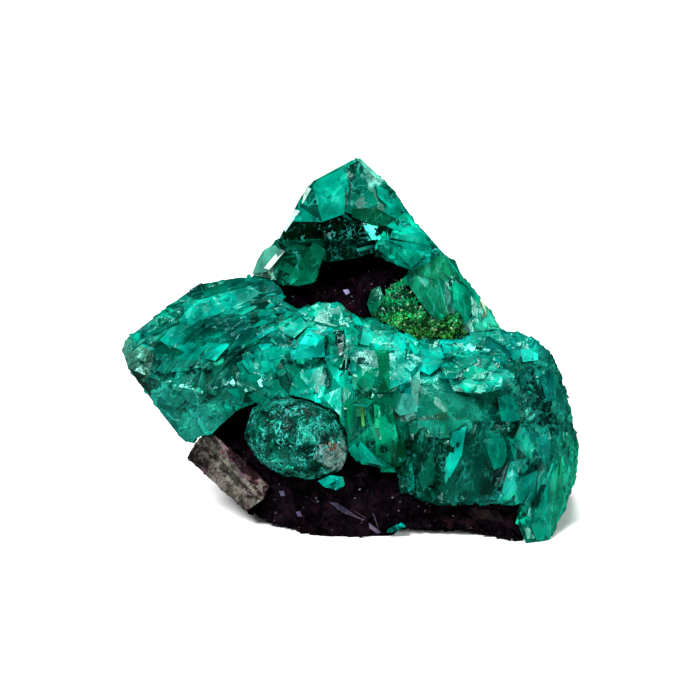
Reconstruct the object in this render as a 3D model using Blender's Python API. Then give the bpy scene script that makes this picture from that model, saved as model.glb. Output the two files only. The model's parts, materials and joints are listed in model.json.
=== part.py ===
"""Dioptase specimen: green crystals grown on a dark oxide rock.

Metres, +Z up, X across the front, Y from front to back. The origin is under the middle of the specimen, on the
surface that it rests on.

Each lump is the convex hull of corner points. A corner is given as it is seen from the front:
x to the right and y down, a tenth of a millimetre to a unit, and its depth into the specimen in millimetres.
"""

import math

import bmesh
import bpy
from mathutils import Matrix, Vector

MM = 0.001
UNIT = 0.1 * MM  # one front-view unit at zero depth
CENTRE_X, CENTRE_Y = 350.0, 350.0  # front-view point that the line of sight goes through
TILT = math.radians(15.0)  # the front view looks down by this much
DISTANCE = 350.0 * MM  # from the eye to zero depth
EYE_HEIGHT = 16.57 * MM  # of the front view's middle, at zero depth, above the resting surface
SHIFT = Vector((-0.04 * MM, -2.84 * MM, 0.0))  # puts the origin under the middle of the finished specimen
GAP = 0.3 * MM  # hairline left between neighbouring minerals

RIGHT = Vector((1.0, 0.0, 0.0))
UP = Vector((0.0, math.sin(TILT), math.cos(TILT)))
AWAY = Vector((0.0, math.cos(TILT), -math.sin(TILT)))


def at(x, y, depth):
    """World point of a front-view point at a depth in millimetres."""
    deep = depth * MM
    scale = UNIT * (1.0 + deep / DISTANCE)
    point = RIGHT * ((x - CENTRE_X) * scale) + UP * ((CENTRE_Y - y) * scale) + AWAY * deep
    return point + Vector((0.0, 0.0, EYE_HEIGHT)) + SHIFT


def floor_at(x, depth):
    """World point on the resting surface, below the front-view column x at a depth."""
    deep = depth * MM
    down = EYE_HEIGHT - deep * math.sin(TILT)
    y = CENTRE_Y + down / math.cos(TILT) / (UNIT * (1.0 + deep / DISTANCE))
    point = at(x, y, depth)
    point.z = SHIFT.z
    return point


def F(x, depth):
    return ("floor", x, depth)


# ---------------------------------------------------------------- the lumps

MATRIX = {
    "left_base": [
        (222, 440, 2), (250, 408, 0.5), (262, 445, -1.5), (300, 478, -3.5), (345, 480, -4.5), (398, 465, -4.5), (402, 495, -4.8),
        (246, 508, 0), (262, 518, -1.5), (282, 522, -2.5), (300, 528, -3.5), F(320, -4.5), F(345, -4.7), F(388, -4.5), (406, 528, -4.2),
        (203, 424, 4), (200, 434, 3.5), (206, 420, 9), (222, 440, 9), (262, 430, 13), (400, 430, 14), (240, 480, 8), F(312, 6), F(326, 10.5), F(365, 12), F(392, 12), F(402, 10),
    ],
    "right_base": [
        (390, 465, -4.5), (404, 500, -4.6), (437, 507, -4.8), (480, 500, -5), (518, 508, -5.5), (400, 527, -4.2), (440, 524, -4), (462, 525, -4.3),
        (500, 530, -5), (520, 530, -5.5), (390, 440, 13), (520, 430, 12), (545, 470, 8), (395, 480, 11.5), (440, 474, 11), (510, 484, 8), (545, 486, 5),
    ],
    "right_foot": [
        (478, 505, -4.5), (480, 529, -4.8), (500, 536, -5.6), F(515, -6.2), F(541, -5.4), (530, 500, -5.5), (500, 480, 6), F(508, 2.5), F(520, 5.5), F(538, 4),
        (545, 490, 5), (542, 512, 1), (545, 480, 0), (545, 470, -3),
    ],
    "back_wall": [
        (262, 300, 9), (278, 262, 9.5), (330, 250, 9.5), (385, 240, 9), (400, 262, 6), (398, 300, 4.5), (392, 345, 4), (280, 350, 5), (255, 330, 8),
        (262, 280, 15), (300, 255, 15.5), (390, 240, 15.2), (450, 285, 14.5), (490, 330, 13), (505, 360, 12), (240, 340, 14),
    ],
    "core": [
        (236, 350, 4), (300, 325, 3), (392, 322, 2.5), (470, 335, 2), (545, 360, 3), (562, 430, 3), (545, 490, 2), (400, 485, -3), (268, 478, -1), (225, 425, 2),
        (232, 345, 13), (262, 285, 15), (390, 262, 15.5), (500, 345, 14), (545, 400, 12.5), (540, 460, 11), (400, 480, 13), (262, 455, 12.5), (222, 400, 11),
    ],
}

GREY = {
    "block": [
        (187, 458, 0), (199, 438, -0.5), (213, 434, -1), (268, 486, -3.5), (262, 500, -3.8), (246, 511, -2.5), (232, 497, -2),
        (192, 452, 4), (215, 440, 4.5), (268, 480, 3), (240, 500, 3.5),
    ],
}

RIDGE = {
    "wing": [
        (122, 350, 0.5), (127, 338, 1), (147, 324, 2), (166, 309, 3.5), (185, 294, 5), (200, 284, 6), (232, 280, 6.5), (256, 276, 6.5),
        (272, 280, 5.5), (283, 292, 4), (284, 318, 1), (262, 352, -3), (240, 380, -4), (205, 392, -3.5), (170, 385, -2.5), (150, 396, -0.5), (128, 368, -0.5),
        (165, 418, 0), (180, 437, 0.5), (192, 442, 0.5), (213, 432, -1.5), (243, 404, -3.5),
        (140, 345, 5), (170, 330, 9), (210, 310, 12), (250, 300, 13), (275, 310, 12), (270, 350, 9), (220, 400, 7), (190, 425, 5), (150, 385, 4),
    ],
    "wing_step": [
        (150, 352, -0.6), (200, 322, 0.8), (250, 300, 2.2), (275, 300, 2), (274, 330, -1.6), (250, 345, -3.2), (215, 365, -3.8), (175, 372, -2.6), (152, 368, -1),
        (200, 330, 6), (260, 320, 6), (200, 370, 3),
    ],
    "centre_left": [
        (276, 322, 0), (284, 317, 0.5), (300, 311, 0), (318, 303, 0.5), (338, 303, 0.5), (356, 318, 0), (358, 345, -3), (356, 380, -5), (325, 402, -6), (290, 400, -6),
        (255, 402, -4.5), (236, 385, -4.5), (245, 350, -3), (275, 320, 9), (350, 315, 9), (330, 395, 4), (245, 395, 4),
    ],
    "blade": [
        (326, 340, -3), (334, 330, -2.4), (350, 331, -2.4), (348, 352, -4.6), (345, 374, -6.4), (333, 377, -6.6), (326, 362, -5.2), (340, 335, 3), (338, 375, -1),
    ],
    "bright_crystal": [
        (309, 330, -2.4), (324, 339, -3.4), (320, 350, -4.6), (313, 358, -5), (295, 364, -5), (294, 355, -4.2), (298, 344, -3.2), (310, 345, 0), (300, 358, -1),
    ],
    "clear_prism": [
        (396, 329, -0.6), (376, 334, -1.4), (356, 348, -3.2), (350, 357, -4.2), (353, 389, -6.6), (372, 402, -7.6), (390, 392, -7.6), (411, 381, -6.6), (412, 357, -4.2), (405, 342, -2.2),
        (390, 340, 4), (360, 385, 0), (405, 380, 0),
    ],
    "centre": [
        (350, 318, 0.5), (375, 320, 1), (392, 328, 0), (418, 342, -2), (420, 380, -6), (416, 420, -7.5), (408, 455, -7), (388, 466, -6.5), (362, 462, -6.5), (346, 450, -6.5),
        (340, 420, -7), (336, 385, -6), (345, 350, -3), (350, 325, 8), (410, 335, 8), (400, 455, 3), (350, 445, 3),
    ],
    "striped_prism": [
        (345, 402, -7), (366, 396, -7.8), (392, 408, -8.2), (398, 440, -8.2), (390, 462, -7.4), (362, 464, -7.2), (348, 445, -7.4), (365, 405, 0), (390, 455, 0),
    ],
    "right_upper": [
        (400, 345, -2), (440, 343, -1), (475, 343, 0), (500, 331, 2), (522, 333, 2), (537, 341, 1), (549, 352, 0.5), (560, 375, 0), (568, 400, 0),
        (574, 436, 0), (560, 446, -4), (520, 440, -8), (470, 434, -9), (430, 434, -8.5), (404, 420, -7), (400, 375, -5),
        (410, 345, 8), (520, 340, 11), (555, 370, 10), (570, 430, 8), (500, 440, 6), (410, 430, 4),
    ],
    "scallop": [
        (442, 366, -4.6), (452, 386, -7.8), (480, 393, -8.8), (512, 384, -8.2), (518, 368, -6.2), (500, 350, -3.4), (455, 352, -3.4), (480, 360, 2), (505, 380, -2),
    ],
    "right_belly": [
        (396, 455, -6.5), (400, 422, -7), (430, 420, -8.5), (470, 420, -9.5), (520, 425, -8.5), (562, 430, -4), (548, 470, -7), (532, 504, -7),
        (500, 499, -8.5), (480, 494, -8.5), (437, 504, -7), (420, 498, -6.5), (401, 490, -6), (398, 450, 3), (562, 430, 7), (542, 495, 5), (410, 490, 3),
    ],
    "right_side": [
        (552, 425, -4), (577, 437, 0), (578, 446, 0), (572, 460, 0), (575, 478, 0.5), (568, 500, 0.5), (556, 520, -0.5), F(549, -5.8), F(526, -6.8),
        (516, 520, -6.2), (526, 496, -7.4), (574, 445, 8), (567, 485, 7), (553, 505, 4), (528, 505, 5),
    ],
    "back_of_wing": [
        (170, 330, 8), (212, 306, 11), (252, 297, 12.5), (272, 300, 12.5), (262, 345, 13.5), (225, 385, 11.5), (190, 395, 8), (165, 375, 6), (200, 340, 5), (240, 380, 5),
    ],
    "back_of_right": [
        (470, 345, 12), (522, 341, 11.5), (556, 372, 11), (571, 420, 9.5), (568, 455, 8), (545, 440, 13), (500, 400, 15), (470, 370, 14.5), (500, 350, 5), (560, 430, 4),
    ],
}

PEAK = {
    "upper": [
        (277, 243, 3.5), (300, 198, 4), (313, 181, 5), (331, 172, 5.5), (346, 166, 6), (352, 160, 6.3), (360, 158, 6.5), (366, 166, 6), (374, 180, 5),
        (394, 190, 4), (405, 212, 3), (418, 228, 2.5), (400, 236, 1), (372, 240, 0), (345, 238, 0.5), (315, 236, 1.5), (290, 240, 2.5),
        (290, 240, 13), (312, 190, 13), (350, 168, 12), (392, 195, 12), (415, 228, 12),
    ],
    "lower_left": [
        (262, 264, 5), (275, 240, 4), (300, 230, 3.2), (317, 236, 3), (327, 250, 3.2), (314, 282, 4.5), (298, 286, 5), (275, 284, 6),
        (266, 272, 13), (300, 272, 14), (322, 252, 14), (290, 238, 13),
    ],
    "lower": [
        (300, 230, 3.2), (345, 232, 3), (372, 232, 3), (400, 236, 3), (400, 246, 2.5), (376, 252, 3), (354, 258, 3.6), (326, 262, 4),
        (310, 258, 13), (380, 248, 13.5), (404, 234, 13), (300, 236, 13),
    ],
    "side_prism": [
        (253, 274, 6), (262, 252, 6), (275, 244, 5), (284, 256, 4), (276, 280, 5), (258, 278, 6), (258, 272, 12), (268, 250, 12), (285, 270, 12),
    ],
    "fan": [
        (405, 212, 2.5), (420, 229, 1.5), (431, 246, 0.5), (440, 251, 1), (430, 262, -0.5), (413, 270, -1), (395, 264, -1), (376, 253, -0.5),
        (375, 246, 0), (386, 226, 0.5), (398, 218, 1.5), (380, 250, 8), (400, 222, 12), (440, 252, 12), (420, 268, 10),
    ],
    "round": [
        (411, 266, 0), (430, 252, 0.5), (440, 249, 1.5), (448, 258, 2), (456, 277, 2), (466, 288, 2.5), (480, 298, 3), (484, 310, 2.5), (480, 322, 2),
        (474, 338, 1), (455, 338, 0.5), (440, 330, 0.5), (425, 300, 0.5), (405, 280, 1), (420, 262, 12), (450, 262, 13), (478, 300, 13), (480, 335, 11), (430, 320, 8),
    ],
    "shoulder": [
        (462, 340, 1), (470, 318, 1.5), (484, 303, 4), (490, 318, 4), (502, 331, 3), (490, 338, 1.5), (478, 344, 0.5), (474, 315, 12), (502, 333, 11), (472, 342, 9),
    ],
}

DRUSE = {
    "slope": [
        (373, 318, 1.5), (380, 306, 1.5), (392, 287, 2), (405, 281, 2), (425, 283, 1.5), (450, 292, 1), (458, 305, 0.8), (455, 322, 0.5), (468, 342, 0),
        (455, 346, -0.8), (425, 346, -0.8), (408, 338, 0), (392, 328, 1), (385, 310, 6), (400, 290, 6), (450, 300, 6), (460, 335, 5), (410, 335, 5),
    ],
}

CAVITY_CRYSTAL = {"one": [(367, 304, 4), (371, 290, 4.4), (380, 286, 4.2), (385, 300, 3.4), (382, 313, 3.4), (371, 314, 4), (371, 300, 8), (382, 298, 8)]}
UNDER_CRYSTAL = {"one": [(318, 481, -6.4), (324, 487, -6.6), (336, 490, -6.6), (345, 485, -6.6), (343, 477, -6.6), (330, 475, -6.6), (325, 478, -3), (342, 484, -3), (335, 476, -3)]}
BASE_CHIP = {"one": [(386, 532, -5.2), (392, 527, -5.6), (401, 523, -5.6), (405, 526, -5.6), (398, 531, -5.4), (389, 533, -5.2), (392, 529, -3), (402, 526, -3)]}


# ---------------------------------------------------------------- making them


def clear_scene():
    for old in list(bpy.data.objects):
        bpy.data.objects.remove(old, do_unlink=True)


def corners(points):
    return [floor_at(p[1], p[2]) if p[0] == "floor" else at(*p) for p in points]


def hull_mesh(points):
    """bmesh of the points' convex hull, its faces triangles that look out."""
    bm = bmesh.new()
    for p in points:
        bm.verts.new(p)
    made = bmesh.ops.convex_hull(bm, input=bm.verts)
    loose = {v for v in made["geom_interior"] + made["geom_unused"] if isinstance(v, bmesh.types.BMVert)}
    bmesh.ops.delete(bm, geom=list(loose), context="VERTS")
    bmesh.ops.recalc_face_normals(bm, faces=bm.faces)
    return bm


def moved_out(vert, distance):
    """Where a hull's corner goes when the faces around it move out by the distance, as nearly as they can all agree."""
    total, wanted = Matrix(((1e-3, 0, 0), (0, 1e-3, 0), (0, 0, 1e-3))), Vector()
    for face in vert.link_faces:
        n = face.normal
        for i in range(3):
            for j in range(3):
                total[i][j] += n[i] * n[j]
        wanted += n * distance
    step = total.inverted() @ wanted
    if step.length > 2.5 * distance:
        step *= 2.5 * distance / step.length
    return vert.co + step


def hull(name, points, grow=0.0):
    bm = hull_mesh(points)
    if grow:
        grown = [moved_out(v, grow) for v in bm.verts]
        bm.free()
        bm = hull_mesh(grown)
    mesh = bpy.data.meshes.new(name)
    bm.to_mesh(mesh)
    bm.free()
    obj = bpy.data.objects.new(name, mesh)
    bpy.context.scene.collection.objects.link(obj)
    return obj


def helper(obj):
    obj.hide_render = True
    obj.display_type = "WIRE"
    return obj


def add_boolean(obj, other, operation):
    modifier = obj.modifiers.new(operation.lower(), "BOOLEAN")
    modifier.operation = operation
    modifier.object = other
    modifier.solver = "EXACT"


def material(name, colour, roughness, transmission=0.0):
    mat = bpy.data.materials.new(name)
    mat.use_nodes = True
    shader = mat.node_tree.nodes["Principled BSDF"]
    shader.inputs["Base Color"].default_value = (*colour, 1.0)
    shader.inputs["Roughness"].default_value = roughness
    shader.inputs["Metallic"].default_value = 0.0
    shader.inputs["Transmission Weight"].default_value = transmission
    shader.inputs["IOR"].default_value = 1.66
    return mat


def mineral(name, lumps, mat, neighbours=()):
    """One solid: its lumps joined, then cleared of its neighbours' lumps by the gap."""
    names = list(lumps)
    body = hull(name, corners(lumps[names[0]]))
    for n in names[1:]:
        add_boolean(body, helper(hull(f"{name}_{n}", corners(lumps[n]))), "UNION")
    for other_name, other in neighbours:
        for n in other:
            cutter = helper(hull(f"{name}_clear_of_{other_name}_{n}", corners(other[n]), grow=GAP))
            add_boolean(body, cutter, "DIFFERENCE")
    body.data.materials.append(mat)
    return body


def nodule_points():
    """Egg-shaped lump, its long axis down to the right, as front-view points."""
    middle, half, lean = (298.0, 438.0, -5.0), (55.0, 39.0, 4.6), math.radians(18.0)
    points = []
    for i in range(1, 8):
        polar = math.pi * i / 8.0
        for j in range(14):
            turn = 2.0 * math.pi * (j + 0.5 * (i % 2)) / 14.0
            a, b, c = math.cos(polar), math.sin(polar) * math.cos(turn), math.sin(polar) * math.sin(turn)
            across, down = a * half[0], b * half[1]
            x = middle[0] + across * math.cos(lean) - down * math.sin(lean)
            y = middle[1] + across * math.sin(lean) + down * math.cos(lean)
            points.append((x, y, middle[2] + c * half[2]))
    return points


def main():
    clear_scene()
    nodule = {"egg": nodule_points()}
    green = (0.0, 0.30, 0.20)
    mineral("nodule", nodule, material("nodule_dioptase", green, 0.3, 0.3))
    mineral("grey_block", GREY, material("weathered_rock", (0.10, 0.09, 0.08), 0.8))
    ridge_near = [("nodule", nodule), ("grey_block", GREY)]
    mineral("crystal_ridge", RIDGE, material("ridge_dioptase", green, 0.15, 0.5), ridge_near)
    mineral("peak_crystal", PEAK, material("peak_dioptase", (0.0, 0.25, 0.15), 0.08, 0.7), [("ridge", RIDGE)])
    mineral("cavity_crystal", CAVITY_CRYSTAL, material("cavity_dioptase", (0.0, 0.2, 0.12), 0.1, 0.7), [("ridge", RIDGE)])
    mineral("under_crystal", UNDER_CRYSTAL, material("under_dioptase", green, 0.15, 0.5), [("nodule", nodule)])
    mineral("base_chip", BASE_CHIP, material("chip_dioptase", (0.0, 0.35, 0.28), 0.2, 0.5))
    druse_near = [("ridge", RIDGE), ("peak", PEAK), ("cavity_crystal", CAVITY_CRYSTAL)]
    mineral("druse", DRUSE, material("druse_dioptase", (0.03, 0.20, 0.05), 0.3, 0.3), druse_near)
    rock_near = [
        ("nodule", nodule), ("grey_block", GREY), ("ridge", RIDGE), ("peak", PEAK), ("druse", DRUSE),
        ("cavity_crystal", CAVITY_CRYSTAL), ("under_crystal", UNDER_CRYSTAL), ("base_chip", BASE_CHIP),
    ]
    mineral("matrix_rock", MATRIX, material("oxide_rock", (0.012, 0.008, 0.012), 0.6), rock_near)


main()
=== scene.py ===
"""Looks of the dioptase specimen: broken crystal faces, rock, crust and a druse of tiny crystals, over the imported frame."""

import json
import math
import random

import bmesh
import bpy
import numpy as np
from mathutils import Matrix, Vector, noise
from mathutils.bvhtree import BVHTree

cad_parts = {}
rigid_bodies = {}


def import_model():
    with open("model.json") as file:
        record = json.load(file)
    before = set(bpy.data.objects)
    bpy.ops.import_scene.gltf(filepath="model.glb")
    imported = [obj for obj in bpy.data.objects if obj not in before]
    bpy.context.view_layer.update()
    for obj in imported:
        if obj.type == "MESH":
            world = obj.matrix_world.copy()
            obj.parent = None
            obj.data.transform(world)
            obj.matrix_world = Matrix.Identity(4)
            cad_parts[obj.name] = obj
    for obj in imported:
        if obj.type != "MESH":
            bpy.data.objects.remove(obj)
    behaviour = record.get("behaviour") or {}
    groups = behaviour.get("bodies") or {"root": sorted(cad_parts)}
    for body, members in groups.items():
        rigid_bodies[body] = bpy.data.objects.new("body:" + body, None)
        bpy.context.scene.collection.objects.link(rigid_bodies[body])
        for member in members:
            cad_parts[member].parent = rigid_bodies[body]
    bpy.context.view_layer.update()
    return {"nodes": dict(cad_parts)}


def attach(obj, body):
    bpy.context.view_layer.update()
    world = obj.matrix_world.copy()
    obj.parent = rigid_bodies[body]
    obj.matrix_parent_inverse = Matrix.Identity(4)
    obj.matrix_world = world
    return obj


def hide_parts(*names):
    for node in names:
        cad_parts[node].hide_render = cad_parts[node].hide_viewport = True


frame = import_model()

# ---------------------------------------------------------------- the front view, as the CAD has it

MM = 0.001
UNIT = 0.1 * MM
TILT = math.radians(15.0)
DISTANCE = 350.0 * MM
SHIFT = Vector((-0.04 * MM, -2.84 * MM, 0.0))
MIDDLE = Vector((0.0, 0.0, 16.57 * MM)) + SHIFT
RIGHT = Vector((1.0, 0.0, 0.0))
UP = Vector((0.0, math.sin(TILT), math.cos(TILT)))
AWAY = Vector((0.0, math.cos(TILT), -math.sin(TILT)))
EYE = MIDDLE - AWAY * DISTANCE


def at(x, y, depth):
    """World point of a front-view point: x right and y down in tenths of a millimetre, depth in millimetres."""
    scale = UNIT * (1.0 + depth * MM / DISTANCE)
    return MIDDLE + RIGHT * ((x - 350.0) * scale) + UP * ((350.0 - y) * scale) + AWAY * (depth * MM)


def seen(p):
    """Front-view x, y and depth of a world point."""
    q = p - MIDDLE
    deep = q.dot(AWAY)
    scale = UNIT * (1.0 + deep / DISTANCE)
    return 350.0 + q.dot(RIGHT) / scale, 350.0 - q.dot(UP) / scale, deep / MM


def way(dx, dy, dd=0.0):
    """World direction of a front-view step: right, down, and away in millimetres a tenth."""
    return (RIGHT * dx - UP * dy + AWAY * dd).normalized()


# ---------------------------------------------------------------- solids


def solid_of(node):
    """bmesh of a CAD node with its corners welded."""
    bm = bmesh.new()
    bm.from_mesh(frame["nodes"][node].data)
    bmesh.ops.remove_doubles(bm, verts=bm.verts, dist=2e-6)
    bmesh.ops.recalc_face_normals(bm, faces=bm.faces)
    return bm


TREES = {}
for node_name in frame["nodes"]:
    bm = solid_of(node_name)
    bmesh.ops.triangulate(bm, faces=bm.faces)
    TREES[node_name] = BVHTree.FromBMesh(bm)
    bm.free()


def front_depth(node, x, y):
    """Depth of a node's surface at a front-view point, or None."""
    ray = (at(x, y, 0.0) - EYE).normalized()
    hit = TREES[node].ray_cast(EYE, ray)[0]
    return None if hit is None else seen(hit)[2]


def within(tree, p):
    """True if p lies inside the closed surface."""
    line, hits = Vector((0.011, 0.017, 1.0)).normalized(), 0
    hit = tree.ray_cast(p, line)
    while hit[0] is not None and hits < 50:
        hits += 1
        hit = tree.ray_cast(hit[0] + line * 1e-6, line)
    return hits % 2 == 1


def kept_in(node, points, allowed):
    """Points, the ones further out from the node's surface than allowed (in millimetres) pulled back to it."""
    tree, kept = TREES[node], []
    for p in points:
        near, normal, _, _ = tree.find_nearest(p)
        off, reach = p - near, (allowed + 0.4) * MM
        if off.dot(normal) > allowed * MM:
            p = near + normal * (allowed * MM)
        elif off.length > reach and not within(tree, p):
            p = near + off.normalized() * reach
        kept.append(p)
    return kept


def free_space(node, p, n, reach):
    """True if no other node lies within reach of p along n."""
    for name, tree in TREES.items():
        if name != node and tree.ray_cast(p + n * 2e-5, n, reach)[0] is not None:
            return False
    return True


def hull_object(points, paint, grain, lowest=0.02):
    """A crystal in millimetres: the hull of world points, with its colour and its growth direction on every face."""
    bm = bmesh.new()
    for p in points:
        bm.verts.new((p.x / MM, p.y / MM, max(p.z / MM, lowest + 0.02 * p.x / MM % 0.01)))
    made = bmesh.ops.convex_hull(bm, input=bm.verts)
    loose = {v for v in made["geom_interior"] + made["geom_unused"] if isinstance(v, bmesh.types.BMVert)}
    bmesh.ops.delete(bm, geom=list(loose), context="VERTS")
    bmesh.ops.recalc_face_normals(bm, faces=bm.faces)
    if len(bm.faces) < 4 or not all(e.is_manifold for e in bm.edges) or bm.calc_volume() < 2e-3:
        bm.free()
        return None
    colours = bm.faces.layers.float_color.new("paint")
    grains = bm.faces.layers.float_vector.new("grain")
    for f in bm.faces:
        f[colours] = paint
        f[grains] = grain
    mesh = bpy.data.meshes.new("crystal")
    bm.to_mesh(mesh)
    bm.free()
    return bpy.data.objects.new("crystal", mesh)


def fuse(base, adds, cuts=(), batch=500):
    """New mesh in metres: the base object less the cuts, joined with the adds as one solid. Its makings are in millimetres."""
    scene = bpy.context.scene
    scene.collection.objects.link(base)
    groups = []
    steps = [("DIFFERENCE", list(cuts))] if cuts else []
    steps += [("UNION", list(adds[i : i + batch])) for i in range(0, len(adds), batch)]
    for operation, objects in steps:
        group = bpy.data.collections.new("fuse")
        scene.collection.children.link(group)
        for o in objects:
            group.objects.link(o)
        modifier = base.modifiers.new(operation, "BOOLEAN")
        modifier.operation = operation
        modifier.operand_type = "COLLECTION"
        modifier.collection = group
        modifier.solver = "MANIFOLD"
        groups.append(group)
    graph = bpy.context.evaluated_depsgraph_get()
    mesh = bpy.data.meshes.new_from_object(base.evaluated_get(graph))
    for group in groups:
        for o in list(group.objects):
            old = o.data
            bpy.data.objects.remove(o, do_unlink=True)
            bpy.data.meshes.remove(old)
        bpy.data.collections.remove(group)
    old = base.data
    bpy.data.objects.remove(base, do_unlink=True)
    bpy.data.meshes.remove(old)
    mesh.transform(Matrix.Scale(MM, 4))
    return mesh


def piece(name, mesh, material, node):
    """Puts a finished mesh in the scene in place of its CAD node."""
    mesh.name = name
    mesh.materials.clear()
    mesh.materials.append(material)
    obj = bpy.data.objects.new(name, mesh)
    bpy.context.scene.collection.objects.link(obj)
    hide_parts(node)
    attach(obj, "root")
    return obj


# ---------------------------------------------------------------- crystal shapes, in their own frame: long, wide, out


def block(rng, a, b, c):
    """Cleavage block: a skewed box that narrows outwards, with a corner or two broken off."""
    lean_x, lean_y = rng.uniform(-0.4, 0.4), rng.uniform(-0.4, 0.4)
    points = []
    for sz in (-1, 1):
        shrink = 1.0 if sz < 0 else rng.uniform(0.55, 0.9)
        for sx in (-1, 1):
            for sy in (-1, 1):
                p = Vector((sx * a * 0.5 * shrink + lean_x * c * 0.5 * sz, sy * b * 0.5 * shrink + lean_y * c * 0.5 * sz, sz * c * 0.5))
                p += Vector((rng.uniform(-1, 1) * a, rng.uniform(-1, 1) * b, rng.uniform(-1, 1) * c)) * 0.06
                if sz > 0 and rng.random() < 0.3:
                    points += [p * 0.55 + Vector((0, 0, c * 0.28)), p * 0.9 - Vector((0, 0, c * 0.35))]
                else:
                    points.append(p)
    return points


def plate(rng, a, b, c):
    """Thin blade along its length, pointed at the ends and bevelled along one side."""
    side = rng.choice((-1, 1))
    tip = rng.uniform(0.25, 0.48)
    points = []
    for sz, grow in ((-1, 1.0), (1, rng.uniform(0.6, 0.9))):
        z = sz * c * 0.5
        points += [
            Vector((-a * 0.5 * grow, rng.uniform(-0.3, 0.3) * b, z)),
            Vector((a * 0.5 * grow, rng.uniform(-0.3, 0.3) * b, z + rng.uniform(-0.2, 0.1) * c)),
            Vector((-a * tip * grow, b * 0.5 * grow, z)),
            Vector((a * tip * grow, b * 0.5 * grow, z)),
            Vector((-a * tip * grow, -b * 0.5 * grow, z)),
            Vector((a * tip * grow, -b * 0.5 * grow, z)),
        ]
    points.append(Vector((rng.uniform(-0.2, 0.2) * a, side * b * 0.3, c * rng.uniform(0.55, 0.8))))
    return points


def prism(rng, a, b, c):
    """Six-sided prism standing out along its length, with a low three-faced point."""
    points = []
    turn = rng.uniform(0, 1)
    for k in range(6):
        t = math.pi * (k + turn) / 3.0
        x, y = math.cos(t) * b * 0.5, math.sin(t) * b * 0.5 * rng.uniform(0.7, 1.0)
        points.append(Vector((-a * 0.5, x, y)))
        points.append(Vector((a * 0.5 - b * (0.35 if k % 2 else 0.12), x, y)))
    points.append(Vector((a * 0.5 + b * 0.12, rng.uniform(-0.1, 0.1) * b, 0)))
    return points


def grain_lump(rng, a, b, c):
    """Angular lump."""
    points = []
    for _ in range(rng.randint(8, 12)):
        v = Vector((rng.gauss(0, 1), rng.gauss(0, 1), rng.gauss(0, 1))).normalized()
        points.append(Vector((v.x * a * 0.5, v.y * b * 0.5, v.z * c * 0.5)))
    return points


SHAPES = {"block": block, "plate": plate, "prism": prism, "lump": grain_lump}


def basis(out, along):
    """Matrix with columns along, across and out."""
    out = out.normalized()
    along = along - out * along.dot(out)
    if along.length < 1e-4:
        along = out.orthogonal()
    along.normalize()
    across = out.cross(along)
    return Matrix((along, across, out)).transposed()


def vary(rng, paint, spread, bright=0.06, dark=0.14):
    """A crystal's own colour: its zone's, lighter or darker, and a little bluer or greener."""
    gain = math.exp(rng.gauss(0.0, spread))
    pick = rng.random()
    if pick < bright:
        gain *= rng.uniform(1.4, 2.0)
    elif pick < bright + dark:
        gain *= rng.uniform(0.35, 0.6)
    hue = rng.gauss(0.0, 0.08)
    r, g, b = paint
    return (min(0.9, max(0.0, r * gain)), min(0.95, max(0.0, g * gain)), min(0.9, max(0.0, b * gain * (1.0 + hue))), 1.0)


def banded(zone, p):
    """A zone's colour at a point: lighter and darker bands that run along its direction, and broad patches."""
    q = p / MM
    along = zone.get("along")
    if along is not None:
        q = q - along * (q.dot(along) * 0.82)
    gain = math.exp(zone.get("bands", 0.35) * 2.2 * noise.noise(q * 0.55))
    return tuple(c * gain for c in zone["paint"])


def zone_of(zones, x, y, d, n, wobble):
    """The zone that a surface point belongs to. The last one is for what faces away."""
    if len(zones) == 1 or n.dot(AWAY) > 0.15 or d > 8.5:
        return zones[-1]
    best, least = None, 1e9
    for z in zones[:-1]:
        (cx, cy), (rx, ry) = z["at"], z["r"]
        far = ((x - cx) / rx) ** 2 + ((y - cy) / ry) ** 2 + wobble * 0.5
        if far < least:
            best, least = z, far
    return best


def inside(outline, x, y):
    """True if a front-view point lies within an outline."""
    within = False
    for (x1, y1), (x2, y2) in zip(outline, outline[1:] + outline[:1]):
        if (y1 > y) != (y2 > y) and x < (x2 - x1) * (y - y1) / (y2 - y1) + x1:
            within = not within
    return within


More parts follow.
